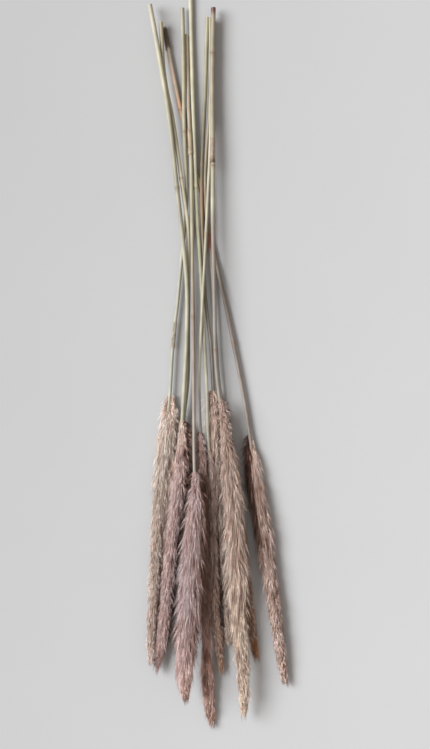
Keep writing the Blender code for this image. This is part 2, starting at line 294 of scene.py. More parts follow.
def culm_material(name, colours, joint_colour):
    """Dry straw: long fibres, a few specks, darker joints, and pale pith at the cut. Its colours along
    the culm hold painted light and shade in places.
    """
    made, tree, shader = new_material(name)
    grain = kept(tree, "grain")["Vector"]
    fibres = noise(tree, stretched(tree, grain, FIBRES), 1, 3)
    patches = noise(tree, grain, PATCHES, 2)
    specks = noise(tree, grain, SPECKS, 2)
    straw = ramp(tree, kept(tree, "share")["Fac"], colours)
    straw = toned(tree, straw, spread(tree, fibres, *FIBRE_LIGHT, 0.3, 0.7))
    straw = toned(tree, straw, spread(tree, patches, *PATCH_LIGHT, 0.35, 0.65))
    straw = mixed(tree, "MIX", spread(tree, specks, 0, 0.7, *SPECK_RANGE), straw, (*SPECK, 1))
    straw = mixed(tree, "MIX", kept(tree, "joint")["Fac"], straw, (*joint_colour, 1))
    straw = mixed(tree, "MIX", kept(tree, "cut")["Fac"], straw, (*PITH, 1))
    fill(tree, shader, {
        "Base Color": straw, "Roughness": spread(tree, patches, 0.42, 0.62), "Specular IOR Level": 0.4,
        "Normal": relief(tree, fibres, 0.6, 0.03 * MM),
    })
    return made


def in_scene(name, data):
    """A new object in the scene."""
    made = bpy.data.objects.new(name, data)
    bpy.context.collection.objects.link(made)
    return made


def new_piece(name, mesh, material, slot, *replaced):
    """Puts a finished mesh in the scene as a piece that stands for CAD nodes."""
    mesh.materials.clear()
    mesh.materials.append(material)
    piece = in_scene(name, mesh)
    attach(piece, "root")
    if replaced:
        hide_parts(*replaced)
    return piece


def culm_rings(number):
    """A culm's rings from the bottom of its hollow cut to its tip, each with its distance along the
    culm, its radius and how dark a joint makes it."""
    knots, middles, radii, joints = culm_line(number)
    near = [joint + np.arange(-JOINT_REACH, JOINT_REACH, JOINT_STEP) for joint in joints]
    s = np.concatenate([np.arange(0, knots[-1], CULM_STEP), [knots[-1]], *near])
    s = np.unique(s.clip(0, knots[-1]))
    line = along(s, knots, middles)
    ahead, side, up = sides_of(line)
    rng = random.Random(number)
    for across in (side, up):
        wave = sum(np.sin(s * rng.uniform(*WAVE_RATES) + rng.uniform(0, 6)) for _ in range(WAVES))
        line = line + across * (wave * WAVE_SHARE * CULM_WAVER)[:, None]
    distance = (s[:, None] - joints[None]) / MM
    swell, dark = (np.interp(distance, *zip(*shape)).max(1) for shape in (JOINT_SHAPE, JOINT_SHADE))
    radius = np.interp(s, knots, radii) * (1 + swell)
    rib = 1 - RIB_DEPTH * (np.arange(CULM_SIDES) % 2)
    out = side[:, None] * np.cos(CULM_TURNS)[:, None] + up[:, None] * np.sin(CULM_TURNS)[:, None]
    skin = line[:, None] + out * (radius[:, None] * rib)[..., None]
    slant = CUT_SLANT * radius[0] * np.cos(CULM_TURNS + rng.uniform(0, 6))
    skin[0] += ahead[0] * slant[:, None]
    hollow = [
        line[0] + out[0] * radius[0] * share + ahead[0] * (slant * share + depth * MM)[:, None]
        for share, depth in reversed(CUT_HOLLOW)
    ]
    at_cut = np.zeros(len(hollow), int)
    s, radius = (np.concatenate([values[at_cut], values]) for values in (s, radius))
    return np.array([*hollow, *skin]), s, radius, [*at_cut, *dark]


def culm_mesh(number):
    """The culm's skin, ring by ring, closed at the bottom of its hollow and inside the plume."""
    rings, s, radius, dark = culm_rings(number)
    count, last = len(rings), len(rings) * CULM_SIDES
    points = np.vstack([rings.reshape(-1, 3), rings[0].mean(0), rings[-1].mean(0)])
    round_it = [(a, (a + 1) % CULM_SIDES) for a in range(CULM_SIDES)]
    faces = []
    for k in range(0, last - CULM_SIDES, CULM_SIDES):
        faces += [[k + a, k + b, k + CULM_SIDES + b, k + CULM_SIDES + a] for a, b in round_it]
    for a, b in round_it:
        faces += [[b, a, last], [last - CULM_SIDES + a, last - CULM_SIDES + b, last + 1]]
    mesh = bpy.data.meshes.new(f"culm_{number:02}_stem")
    mesh.from_pydata(points.tolist(), [], faces)

    def on_points(values, at_tip=0):
        return np.repeat([*values, 0, at_tip], [CULM_SIDES] * count + [1, 1])

    angle = np.resize(CULM_TURNS, len(points))
    wide, far = on_points(radius), on_points(s, s[-1])
    grain = np.stack([wide * np.cos(angle), wide * np.sin(angle), far], 1)
    keep_values(mesh, "share", far / s[-1])
    keep_values(mesh, "joint", on_points(dark))
    keep_values(mesh, "cut", on_points(np.arange(count) < len(CUT_HOLLOW) - 1))
    keep_values(mesh, "grain", grain)
    mesh.shade_smooth()
    mesh.set_sharp_from_angle(angle=SMOOTH_BELOW)
    return mesh


for number, (slot, colours, joint_colour) in CULMS.items():
    material = culm_material(f"culm_{number:02}_straw", colours, joint_colour)
    new_piece(f"culm_{number:02}_stem", culm_mesh(number), material, slot, f"culm_{number:02}")

# Leaf sheaths: dry papery remnants, each still wrapped about its culm. A wrap overlaps itself
# along one side, its ends are torn along the veins, and it stands a little off the culm.
SHEATH_SIDES = 28
SHEATH_ROWS = 30
SHEATH_TURN = 1.12
SHEATH_THICK = 0.12 * MM
# How far a wrap stands off its culm, and how much farther its free side does. Its inner side is
# tucked in and its torn end flares by shares of that
SHEATH_CLEAR = 0.16 * MM
SHEATH_LIFT = 0.3 * MM
TUCKED = 0.3
FLARED = 0.8
SHEATH_RIBS = 9
SHEATH_RIB_DEPTH = 0.04
TEAR_WAVES = (1, 2, 3, 5, 8, 11)
# The leaf's veins, far finer across than along, its blotches a metre, and how light they make it
VEINS = (2600, 2600, 60)
VEIN_LIGHT = (0.6, 1.3)
BLOTCHES = 260
BLOTCH_LIGHT = (0.7, 1.25)
# Each remnant's culm, slot, colours from its foot to its torn end, tear in mm and lean of the slit
SHEATHS = {
    "sheath_01": (1, "sheath_pink", (0.34, 0.31, 0.24), (0.33, 0.26, 0.19), 4, 0.4),
    "sheath_04": (4, "sheath_orange", (0.36, 0.29, 0.19), (0.34, 0.29, 0.2), 7, 2.2),
    "sheath_08": (8, "sheath_pink", (0.31, 0.24, 0.185), (0.12, 0.07, 0.045), 6, 0.9),
    "sheath_10a": (10, "sheath_brown", (0.09, 0.06, 0.04), (0.2, 0.14, 0.09), 6, 2.6),
    "sheath_10b": (10, "sheath_brown", (0.17, 0.085, 0.055), (0.13, 0.075, 0.05), 5, 1.2),
}


def sheath_material(name, foot, torn):
    """Thin dry leaf: parallel veins, blotched, matt, and darker or paler towards the torn end."""
    made, tree, shader = new_material(name)
    grain = kept(tree, "grain")["Vector"]
    veins = noise(tree, stretched(tree, grain, VEINS), 1, 4)
    blotches = noise(tree, grain, BLOTCHES, 3)
    leaf = ramp(tree, kept(tree, "share")["Fac"], ((0, *foot), (0.6, *foot), (1, *torn)))
    leaf = toned(tree, leaf, spread(tree, veins, *VEIN_LIGHT, 0.3, 0.7))
    leaf = toned(tree, leaf, spread(tree, blotches, *BLOTCH_LIGHT, 0.3, 0.7))
    fill(tree, shader, {
        "Base Color": leaf, "Roughness": spread(tree, blotches, 0.55, 0.8),
        "Normal": relief(tree, veins, 0.8, 0.05 * MM),
    })
    return made


def sheath_mesh(name, number, tear, slit):
    """The wrap as a curled sheet with thickness, along the stretch that its CAD node takes."""
    knots, middles, radii, _ = culm_line(number)
    low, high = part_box(name)
    start, end = np.interp((-high.y, -low.y), -middles[:, 1], knots)
    rng = random.Random(name)
    waves = [(k, rng.uniform(0, 6), rng.uniform(0.3, 1) / k**0.5) for k in TEAR_WAVES]
    points, grain, shares = [], [], []
    for row in range(SHEATH_ROWS + 1):
        share = row / SHEATH_ROWS
        for k in range(SHEATH_SIDES + 1):
            part = k / SHEATH_SIDES
            angle = slit + part * SHEATH_TURN * 2 * math.pi
            jag = sum(size * math.sin(n * angle + phase) for n, phase, size in waves)
            ragged = tear * MM * (0.5 + jag / 5) * share**3
            s = start + (end - start) * share - max(ragged, 0)
            stand = SHEATH_CLEAR + SHEATH_LIFT * (part - 0.5) * (1 if k > SHEATH_SIDES / 2 else TUCKED)
            stand += SHEATH_LIFT * FLARED * share**4
            ribbed = 1 + SHEATH_RIB_DEPTH * math.sin(SHEATH_RIBS * angle)
            radius = float(np.interp(s, knots, radii)) * ribbed + stand
            nearby = along(np.array([s - MM, s, s + MM]).clip(0, knots[-1]), knots, middles)
            _, side, up = sides_of(nearby)
            points.append(nearby[1] + radius * (math.cos(angle) * side[1] + math.sin(angle) * up[1]))
            grain.append((radius * math.cos(angle), radius * math.sin(angle), s))
            shares.append(share)
    across = SHEATH_SIDES + 1
    faces = [
        [r * across + k, r * across + k + 1, (r + 1) * across + k + 1, (r + 1) * across + k]
        for r in range(SHEATH_ROWS) for k in range(SHEATH_SIDES)
    ]
    mesh = bpy.data.meshes.new(name)
    mesh.from_pydata([p.tolist() for p in points], [], faces)
    keep_values(mesh, "grain", grain)
    keep_values(mesh, "share", shares)
    mesh.shade_smooth()
    return mesh


for name, (number, slot, foot, torn, tear, slit) in SHEATHS.items():
    material = sheath_material(f"{name}_leaf", foot, torn)
    sheath = new_piece(f"{name}_wrap", sheath_mesh(name, number, tear, slit), material, slot, name)
    thick = sheath.modifiers.new("thickness", "SOLIDIFY")
    thick.thickness = SHEATH_THICK
    thick.offset = 0

# Spikelets: small dry husks set round each rachis in the golden angle, one above the other. Each
# leans out from the rachis towards the tip, and the bristles hide all but a few of them.
GOLDEN_ANGLE = math.pi * (3 - 5**0.5)
PLUME_RING_GAP = 5 * MM
PLUME_STEP = 4 * MM
# How high a plume's bristles reach, in radii of its firm core
RISE = {1: 0.8, 3: 1, 4: 0.7, 5: 1.3, 6: 1.3, 7: 1.5, 8: 0.8, 10: 1}
USUAL_RISE = 1.25
LEAST_RISE = 1.5 * MM
SPIKELET_SIDES = 5
SPIKELET_OUTLINE = ((0.3, 1), (0.68, 0.8))
SPIKELET_LENGTH = 6.5 * MM
SPIKELET_RADIUS = 0.95 * MM
HUSK_LEAN = 0.34
HUSKED_TO = 0.9
PRESSED_BELOW = 1.5 * MM
HUSK = (0.2, 0.125, 0.09)
HUSK_PALE = (0.52, 0.38, 0.31)
MOTTLES = 1500
MOTTLE_LIGHT = (0.75, 1.2)

# Each plume's slot, and its outline seen from above: (share of its length, how far the bristles
# reach to the left of the rachis and to its right, in mm)
PLUMES = {
    1: ("plume_cream", (
        (0, 2, 2), (0.02, 5, 6), (0.05, 8, 10), (0.1, 8, 13.5), (0.17, 8.5, 15), (0.24, 8.8, 12),
        (0.3, 8.8, 9.2), (0.4, 7, 7.5), (0.68, 5, 5), (0.83, 6, 3.5), (0.94, 5, 2), (1, 2, 1.5),
    )),
    2: ("plume_tan", (
        (0, 3, 3), (0.09, 9, 3), (0.5, 9, 4), (0.75, 9, 5), (0.93, 5, 8), (1, 1, 5),
    )),
    3: ("plume_mauve", (
        (0, 1.5, 3), (0.04, 2.8, 11), (0.12, 5, 12.5), (0.31, 5.7, 10.5), (0.42, 6, 7.5), (0.55, 6.3, 7.3),
        (0.87, 6.3, 6.1), (0.95, 5.4, 4.6), (1, 2.5, 2),
    )),
    4: ("plume_mauve", (
        (0, 1.8, 2), (0.035, 4.2, 7.5), (0.12, 7.7, 10.5), (0.2, 11.5, 11.5), (0.4, 12, 13.5),
        (0.6, 12.6, 13.8), (0.81, 11, 12.6), (0.89, 9.6, 8.6), (0.94, 6.8, 5.6), (1, 1.8, 1.8),
    )),
    5: ("plume_brown", (
        (0, 1.5, 1), (0.06, 2.2, 4), (0.13, 2.8, 5.4), (0.4, 7, 5.5), (0.73, 4.8, 5), (0.83, 8, 6.8),
        (0.9, 7.8, 5.8), (0.96, 5.2, 4.8), (1, 1.5, 1.5),
    )),
    6: ("plume_brown", (
        (0, 2, 2.5), (0.13, 4.3, 5.7), (0.35, 3, 4.6), (0.5, 4, 6.5), (0.84, 4.2, 6), (0.93, 2.9, 4.3),
        (1, 1.2, 1.5),
    )),
    7: ("plume_cream", (
        (0, 9, 5), (0.04, 10, 8), (0.1, 10.5, 7.5), (0.2, 9.2, 6), (0.35, 5.6, 5.8), (0.62, 6.1, 8),
        (0.82, 5, 5.5), (1, 3.8, 4),
    )),
    8: ("plume_cream", (
        (0, 0.5, 3), (0.035, 2, 8.5), (0.13, 5, 8.3), (0.22, 9, 10.5), (0.32, 12, 11), (0.362, 12.3, 14.5),
        (0.385, 12.4, 9.8), (0.5, 12.8, 10.5), (0.55, 13, 14.5), (0.575, 12.8, 9.8), (0.66, 12, 9.2),
        (0.75, 9.6, 8.6), (0.84, 6.2, 8.4), (0.94, 4, 7.6), (1, 1, 2.5),
    )),
    9: ("plume_brown", (
        (0, 1.5, 2.5), (0.27, 3, 7), (0.5, 5.3, 6.2), (0.83, 4.3, 5.2), (1, 2.5, 3),
    )),
    10: ("plume_tan", (
        (0, 5.5, 1.5), (0.06, 12, 3.9), (0.14, 15, 5.9), (0.26, 12.8, 8.7), (0.42, 11.5, 8.4),
        (0.54, 9, 7.4), (0.81, 6.4, 6), (0.93, 5.6, 3.9), (1, 4, 1.2),
    )),
}
# The share at a plume's foot where nothing is left on top, so that the culm shows, and how far up
# (of 1) a husk or wisp points to count as on top
BARE = {1: 0.06, 10: 0.05}
ON_TOP = 0.35
# Where a plume's flank is thinned and painted darker as shade: how far round its left (-) or right (+)
# side, and between which shares
SHADED_FLANKS = {3: (0.58, 0.01, 0.36), 4: (0.56, 0.05, 0.85), 7: (-0.7, 0.45, 0.9), 10: (-0.95, 0.01, 0.56)}
SHADED_FLANK_EDGE = (0.42, 0.64)
SHADED_FLANK_FADE = 0.08
# How far from the rachis the husks sit (as a share of the reach), how many stand on a mm of it, and
# the share that they start at
HUSKS = {5: (0.2, 1.25, 0.01), 6: (0.35, 2.5, 0.6), 9: (0.5, 4, 0.01), 10: (0.45, 3, 0.55)}
USUAL_HUSKS = (0.1, 1.25, 0.01)


def maths(tree, operation, *values):
    """The result of a sum on numbers."""
    return add(tree, "ShaderNodeMath", dict(enumerate(values)), operation=operation)[0]


def times(tree, first, second):
    """Two numbers multiplied."""
    return maths(tree, "MULTIPLY", first, second)


def vectors(tree, operation, *values):
    """The result of a sum on vectors."""
    inputs = dict(zip((0, "Scale"), values)) if operation == "SCALE" else dict(enumerate(values))
    results = add(tree, "ShaderNodeVectorMath", inputs, operation=operation)
    return results["Value" if operation in ("LENGTH", "DOT_PRODUCT") else "Vector"]


def parts(tree, vector):
    """The X, Y and Z of a vector."""
    return add(tree, "ShaderNodeSeparateXYZ", {0: vector})


def unit(tree, vector):
    """A vector's direction."""
    return vectors(tree, "NORMALIZE", vector)


def moved(tree, point, way, far):
    """A point moved along a vector, by its length times far."""
    return vectors(tree, "ADD", point, vectors(tree, "SCALE", way, far))


def triple(tree, x, y, z):
    """A vector of three values."""
    return add(tree, "ShaderNodeCombineXYZ", {0: x, 1: y, 2: z})[0]


def chance(tree, seed, low, high, salt):
    """A random number for each point."""
    inputs = {2: low, 3: high, "Seed": maths(tree, "ADD", seed, salt)}
    return add(tree, "FunctionNodeRandomValue", inputs)[1]


def stored(tree, geometry, name, value, kind="FLOAT", domain="POINT"):
    """Geometry with a named value stored on it."""
    inputs = {"Geometry": geometry, "Name": name, "Value": value}
    return add(tree, "GeometryNodeStoreNamedAttribute", inputs, data_type=kind, domain=domain)[0]


def named(tree, name, kind="FLOAT"):
    """A named value, read back."""
    return add(tree, "GeometryNodeInputNamedAttribute", {"Name": name}, data_type=kind)[0]


# What each tree is given: how many copies, of which kinds, a plume's bare foot, seed and material
GIVEN = {"Count": "Int", "Kinds": "Collection", "Bare": "Float", "Seed": "Int", "Material": "Material"}


def new_tree(name, **sockets):
    """A tree with more inputs named, all it is given, the rachis as a curve and a copy's index."""
    tree = bpy.data.node_groups.new(name, "GeometryNodeTree")
    tree.interface.new_socket("Geometry", in_out="INPUT", socket_type="NodeSocketGeometry")
    for socket, kind in (GIVEN | sockets).items():
        tree.interface.new_socket(socket, in_out="INPUT", socket_type=f"NodeSocket{kind}")
    tree.interface.new_socket("Geometry", in_out="OUTPUT", socket_type="NodeSocketGeometry")
    given = add(tree, "NodeGroupInput")
    rachis = add(tree, "GeometryNodeMeshToCurve", {0: given["Geometry"]})[0]
    return tree, given, rachis, add(tree, "GeometryNodeInputIndex")[0]


def on_rachis(tree, rachis, share, name):
    """The rachis at a share of its length: the curve there, and a vector kept on it."""
    inputs = {"Curves": rachis, "Value": named(tree, name, "FLOAT_VECTOR"), "Factor": share}
    return add(tree, "GeometryNodeSampleCurve", inputs, data_type="FLOAT_VECTOR", mode="FACTOR")


def point_round(tree, rachis, share, turn):
    """At a share of the rachis' length: its point, its direction and the plume's reach that way."""
    at = on_rachis(tree, rachis, share, "reach")
    across = vectors(tree, "CROSS_PRODUCT", at["Tangent"], at["Normal"])
    out = vectors(
        tree, "ADD",
        vectors(tree, "SCALE", at["Normal"], maths(tree, "COSINE", turn)),
        vectors(tree, "SCALE", across, maths(tree, "SINE", turn)),
    )
    reach = vectors(tree, "MULTIPLY_ADD", out, at["Value"], on_rachis(tree, rachis, share, "aside")["Value"])
    return at["Position"], at["Tangent"], reach


def covered(tree, out, share, bare):
    """1 for a point that keeps its husk or wisp, 0 for one on top of a plume's bare foot."""
    on_top = maths(tree, "GREATER_THAN", parts(tree, unit(tree, out))[2], ON_TOP)
    return maths(tree, "SUBTRACT", 1, times(tree, on_top, maths(tree, "LESS_THAN", share, bare)))


def on_shaded_flank(tree, out, share, worn):
    """How near a point is to a plume's shaded flank, which is thinned and painted darker, from 0 to 1."""
    side, start, end = parts(tree, worn)
    facing = times(tree, parts(tree, unit(tree, out))[0], side)
    begun = maths(tree, "GREATER_THAN", share, start)
    lasting = spread(tree, share, 1, 0, maths(tree, "SUBTRACT", end, SHADED_FLANK_FADE), end)
    along_it = times(tree, begun, lasting)
    return times(tree, spread(tree, facing, 0, 1, *SHADED_FLANK_EDGE), along_it)


def pressed(tree, solid):
    """What would reach below the surface is pressed flat on it."""
    x, y, z = parts(tree, add(tree, "GeometryNodeInputPosition")[0])
    depth = maths(tree, "SUBTRACT", maths(tree, "DIVIDE", z, PRESSED_BELOW), 1)
    low = times(tree, maths(tree, "EXPONENT", maths(tree, "MINIMUM", depth, 0)), PRESSED_BELOW)
    level = triple(tree, x, y, maths(tree, "MAXIMUM", z, low))
    return add(tree, "GeometryNodeSetPosition", {"Geometry": solid, "Position": level})[0]


def set_on(tree, given, feet, chosen, turned, size, **values):
    """Copies of the given kinds on the chosen feet, turned and sized, that know the values named."""
    points = add(tree, "GeometryNodePoints", {"Count": given["Count"], "Position": feet})[0]
    for name, value in values.items():
        points = stored(tree, points, name, value)
    kinds = add(tree, "GeometryNodeCollectionInfo", {
        "Collection": given["Kinds"], "Separate Children": True, "Reset Children": True,
    })[0]
    return add(tree, "GeometryNodeInstanceOnPoints", {
        "Points": points, "Selection": chosen, "Instance": kinds, "Pick Instance": True,
        "Rotation": turned, "Scale": size,
    })[0]


def turned_to(tree, way, out):
    """The turn that points a husk or wisp along one direction, with its bowed side outwards."""
    return add(
        tree, "FunctionNodeAxesToRotation", {0: way, 1: out}, primary_axis="Z", secondary_axis="X",
    )[0]


def finished(tree, given, geometry):
    """Ends a tree: every copy made real, pressed flat where it is too low, and in its material."""
    solid = pressed(tree, add(tree, "GeometryNodeRealizeInstances", {0: geometry})[0])
    done = add(tree, "GeometryNodeSetMaterial", {"Geometry": solid, "Material": given["Material"]})[0]
    tree.links.new(done, tree.nodes.new("NodeGroupOutput").inputs[0])


def grown(kind, number, outline, tree, **values):
    """The plain mesh that a tree makes along a plume's rachis, with the inputs named."""
    name = f"plume_{number:02}_{kind}"
    host = in_scene(name, rachis_mesh(number, outline))
    modifier = host.modifiers.new(name, "NODES")
    modifier.node_group = tree
    values["Bare"] = BARE.get(number, 0.0)
    for item in tree.interface.items_tree:
        if item.in_out == "INPUT" and item.name in values:
            modifier[item.identifier] = values[item.name]
    graph = bpy.context.evaluated_depsgraph_get()
    solid = host.evaluated_get(graph)
    mesh = bpy.data.meshes.new_from_object(solid, preserve_all_data_layers=True, depsgraph=graph)
    host.modifiers.remove(modifier)
    bpy.data.objects.remove(host)
    mesh.name = name
    return mesh


def rachis_line(number, outline):
    """A plume's middle line, the distances along it, its core's radius and its reach left and right."""
    middles, core = rings_of(f"plume_{number:02}", PLUME_RING_GAP)
    knots = distances(middles)
    s = np.linspace(0, knots[-1], math.ceil(knots[-1] / PLUME_STEP) + 1)
    places, left, right = np.array(outline).T
    left, right = (np.interp(s / knots[-1], places, side) * MM for side in (left, right))
    return along(s, knots, middles), s, np.interp(s, knots, core), left, right


def rachis_mesh(number, outline):
    """The middle line of a plume as a row of edges that know how far the bristles reach."""
    line, _, core, left, right = rachis_line(number, outline)
    mesh = bpy.data.meshes.new(f"rachis_{number:02}")
    mesh.from_pydata(line.tolist(), [(k, k + 1) for k in range(len(line) - 1)], [])
    wide = (left + right) / 2
    reach = np.stack([wide, wide, np.maximum(core * RISE.get(number, USUAL_RISE), LEAST_RISE)], 1)
    keep_values(mesh, "reach", reach)
    aside = np.stack([(right - left) / 2, 0 * left, 0 * left], 1)
    keep_values(mesh, "aside", aside)
    return mesh


def spikelet_kinds():
    """One husk, pointed at both ends, in a collection of its own that isn't in the scene."""
    bm = bmesh.new()
    foot, tip = bm.verts.new((0, 0, 0)), bm.verts.new((0, 0, SPIKELET_LENGTH))
    rings = []
    for share, wide in SPIKELET_OUTLINE:
        across, height = SPIKELET_RADIUS * wide, SPIKELET_LENGTH * share
        turns = [2 * math.pi * k / SPIKELET_SIDES for k in range(SPIKELET_SIDES)]
        rings.append([bm.verts.new((across * math.cos(a), across * math.sin(a), height)) for a in turns])
    for k in range(SPIKELET_SIDES):
        after = (k + 1) % SPIKELET_SIDES
        bm.faces.new((foot, rings[0][after], rings[0][k]))
        bm.faces.new((rings[0][k], rings[0][after], rings[1][after], rings[1][k]))
        bm.faces.new((rings[1][k], rings[1][after], tip))
    mesh = bpy.data.meshes.new("husk")
    bm.to_mesh(mesh)
    bm.free()
    mesh.shade_smooth()
    kinds = bpy.data.collections.new("spikelet_kinds")
    kinds.objects.link(bpy.data.objects.new("husk", mesh))
    return kinds


def spikelet_tree():
    """Husks round a rachis in the golden angle, each leaning out towards the tip."""
    tree, given, rachis, index = new_tree("spikelets_on_rachis", First="Float", Depth="Float")
    seed = given["Seed"]
    share = spread(tree, index, given["First"], HUSKED_TO, 0, given["Count"])
    turn = maths(tree, "ADD", times(tree, index, GOLDEN_ANGLE), chance(tree, seed, -0.3, 0.3, 1))
    centre, ahead, out = point_round(tree, rachis, share, turn)
    foot = moved(tree, centre, out, given["Depth"])
    lean = times(tree, HUSK_LEAN, chance(tree, seed, 0.6, 1.5, 2))
    turned = turned_to(tree, moved(tree, ahead, unit(tree, out), lean), out)
    clothed, size = covered(tree, out, share, given["Bare"]), chance(tree, seed, 0.75, 1.15, 4)
    placed = set_on(tree, given, foot, clothed, turned, size, tone=chance(tree, seed, 0, 1, 3))
    finished(tree, given, placed)
    return tree


def husk_material():
    """Matt brown husk, some paler than others, with fine mottling."""
    made, tree, shader = new_material("husk_brown")
    mottled = noise(tree, add(tree, "ShaderNodeTexCoord")["Object"], MOTTLES, 2)
    husk = mixed(tree, "MIX", kept(tree, "tone")["Fac"], (*HUSK, 1), (*HUSK_PALE, 1))
    husk = toned(tree, husk, spread(tree, mottled, *MOTTLE_LIGHT, 0.3, 0.7))
    fill(tree, shader, {"Base Color": husk, "Roughness": spread(tree, mottled, 0.6, 0.8)})
    return made


husks, husk_skin = spikelet_tree(), husk_material()
husk_kinds = spikelet_kinds()
for number, (slot, outline) in PLUMES.items():
    depth, crowded, first = HUSKS.get(number, USUAL_HUSKS)
    count = round(rachis_line(number, outline)[1][-1] / MM * crowded * (1 - first))
    spikelets = grown(
        "spikelets", number, outline, husks, Count=count, First=first, Depth=depth, Kinds=husk_kinds,
        Seed=number, Material=husk_skin,
    )
    new_piece(spikelets.name, spikelets, husk_skin, slot)

# Bristles: every spikelet sits in a tuft of long silky bristles that point to the plume's tip.
# Bristles that touch cling together in wisps, and the wisps lie in overlapping locks. Wisps inside a
# plume, beneath it, on its shaded flank, in its furrows and past its outline are painted darker as
# shade.
WISP_KINDS = 8
WISP_BRISTLES = 6
WISP_SPREAD = 1.2 * MM
WISP_BOW = 0.5 * MM
DRAWN_IN = 0.6
DRIFT = 0.45
NEEDLE_SIDES = 3
# How much of a needle's square on the map its foot's cap takes, and where its sides begin
CAP_TO = 0.12
SIDES_FROM = 0.16
BRISTLE_RADIUS = 0.175 * MM
BRISTLE_SHARE = 0.56
BRISTLE_STARTS = (0, 0.24, 0.44)
WISP_LENGTH = 2.2
WISP_LENGTHS = (0.65, 1.2)
WISP_FEET = (0.08, 0.5)
WISP_TURNS = (-0.4, 0.4)
TIP_TURNS = (-0.3, 0.3)
THICKNESSES = (0.8, 1.25)
SHORTEST_AT_FOOT = 0.35
LEAST_REACH = 5 * MM
WISPS_PER_AREA = 2.25e6
MOST_WISPS = 4100
# The locks' size as a share of the plume's width, how finely they divide it across, along and up,
# how strongly a wisp's tip is drawn to its lock's middle each way, and how far the locks stand out
LOCK = 0.5
LOCK_SHAPE = (1, 0.2, 1)
CLING = 0.22
CLING_SHAPE = (1, 0.25, 1)
RELIEF = 0.18
RAISED_FROM = 0.6
LOCK_TONE = 0.4
# Where a wisp's tip ends, as a share of the reach: at least the first, at most both together
GOAL = (0.5, 0.54)
OUTWARD = 0.6
STRAYS = 0.13
STRAY_REACH = 0.28
STRAY_LEAST = 0.8 * MM
TIP_FLIGHT = 5 * MM
FLIGHT_FROM = 0.88
THINNED = 0.9
FOOT = 0.12
# Painted shade on the wisps: how fast the painted dark inside a plume fades outwards, and how much
# painted shade a wisp gets beneath the plume, on its shaded flank, and for each mm past the outline
INNER_FADE = 1.4
BENEATH_SHADE = 0.7
FLANK_SHADE = 1.6
UNDER_SHADE = 0.8
# The long lobes, with a furrow between each two, sized and shaped as the locks are. A wisp in a furrow
# sinks and is painted darker as shade
LOBE = 1.3
LOBE_SHAPE = (1, 0.14, 0.5)
FURROW = 0.11
FURROW_DEPTH = 0.2
FURROW_SHADE = 0.9
FLANK_THINNING = 0.55
MAP_ROWS = 3
MAP_EDGE = 0.03

# Each plume's bristles: their colours as (share of the way from its foot, red, green, blue), and the
# colour of its duller patches
BRISTLES = {
    1: ((
        (0, 0.98, 0.81, 0.72), (0.2, 1, 0.94, 0.86), (0.42, 0.74, 0.64, 0.56), (1, 0.71, 0.58, 0.52),
    ), (0.84, 0.7, 0.62)),
    2: (((0, 1, 0.85, 0.75), (1, 0.75, 0.58, 0.51)), (0.47, 0.33, 0.27)),
    3: ((
        (0, 1, 0.82, 0.74), (0.3, 0.87, 0.7, 0.68), (1, 0.72, 0.54, 0.51),
    ), (0.5, 0.35, 0.32)),
    4: ((
        (0, 0.75, 0.6, 0.59), (0.6, 0.71, 0.58, 0.575), (1, 1, 0.76, 0.69),
    ), (0.5, 0.34, 0.32)),
    # Plume 5 is darkest from 0.18 to 0.6, where it lies in the shade between plumes 4 and 6: its own brown
    # and painted shade
    5: ((
        (0, 0.9, 0.7, 0.66), (0.1, 0.8, 0.62, 0.58), (0.18, 0.22, 0.13, 0.09), (0.6, 0.4, 0.26, 0.2),
        (0.71, 0.88, 0.6, 0.52), (1, 0.76, 0.54, 0.47),
    ), (0.38, 0.21, 0.16)),
    6: ((
        (0, 0.78, 0.64, 0.6), (0.5, 0.8, 0.63, 0.57), (0.85, 0.7, 0.5, 0.4), (1, 0.6, 0.36, 0.22),
    ), (0.56, 0.41, 0.35)),
    7: ((
        (0, 0.98, 0.8, 0.69), (0.25, 1, 0.84, 0.73), (0.5, 1, 0.88, 0.77), (1, 1, 0.88, 0.77),
    ), (0.8, 0.63, 0.54)),
    8: ((
        (0, 0.55, 0.42, 0.36), (0.05, 0.71, 0.57, 0.5), (0.5, 0.81, 0.66, 0.57), (0.75, 1, 0.86, 0.72),
        (1, 1, 0.88, 0.74),
    ), (0.6, 0.45, 0.37)),
    9: ((
        (0, 0.63, 0.36, 0.25), (0.8, 0.63, 0.35, 0.22), (1, 0.74, 0.36, 0.16),
    ), (0.42, 0.22, 0.13)),
    10: ((
        (0, 0.98, 0.8, 0.71), (0.45, 0.79, 0.63, 0.56), (0.85, 0.86, 0.7, 0.64), (1, 0.9, 0.76, 0.7),
    ), (0.5, 0.34, 0.28)),
}
# Hair beneath a plume, painted dark as the shade in the gap beside it: how far it reaches past the
# outline on the left and right, in mm, and to which share of the length
UNDER = {3: (0, 7, 0.95), 4: (6, 2, 0.85), 5: (8, 2, 0.55), 6: (0, 7, 0.9), 8: (6, 2.5, 0.75)}
# Colours multiplied in: one darkens a wisp's foot and paints shade inside a plume, one paints the deepest
# shade
ROOT_SHADE = (0.74, 0.6, 0.51)
DEEP_SHADE_COLOUR = (0.21, 0.13, 0.095)
UNDER_FADE = 0.1
# How far down (of -1) a wisp points to start as hair beneath, and to count fully
UNDER_FROM = (-0.15, -0.4)
DULL_PATCHES = (240, 70, 240)
DULL_RANGE = (0.45, 0.64)
# Over which amounts of painted shade a wisp turns to the deepest painted shade
DEEP_RANGE = (0.9, 1.6)
TONE_LIGHT = (0.9, 1.2)


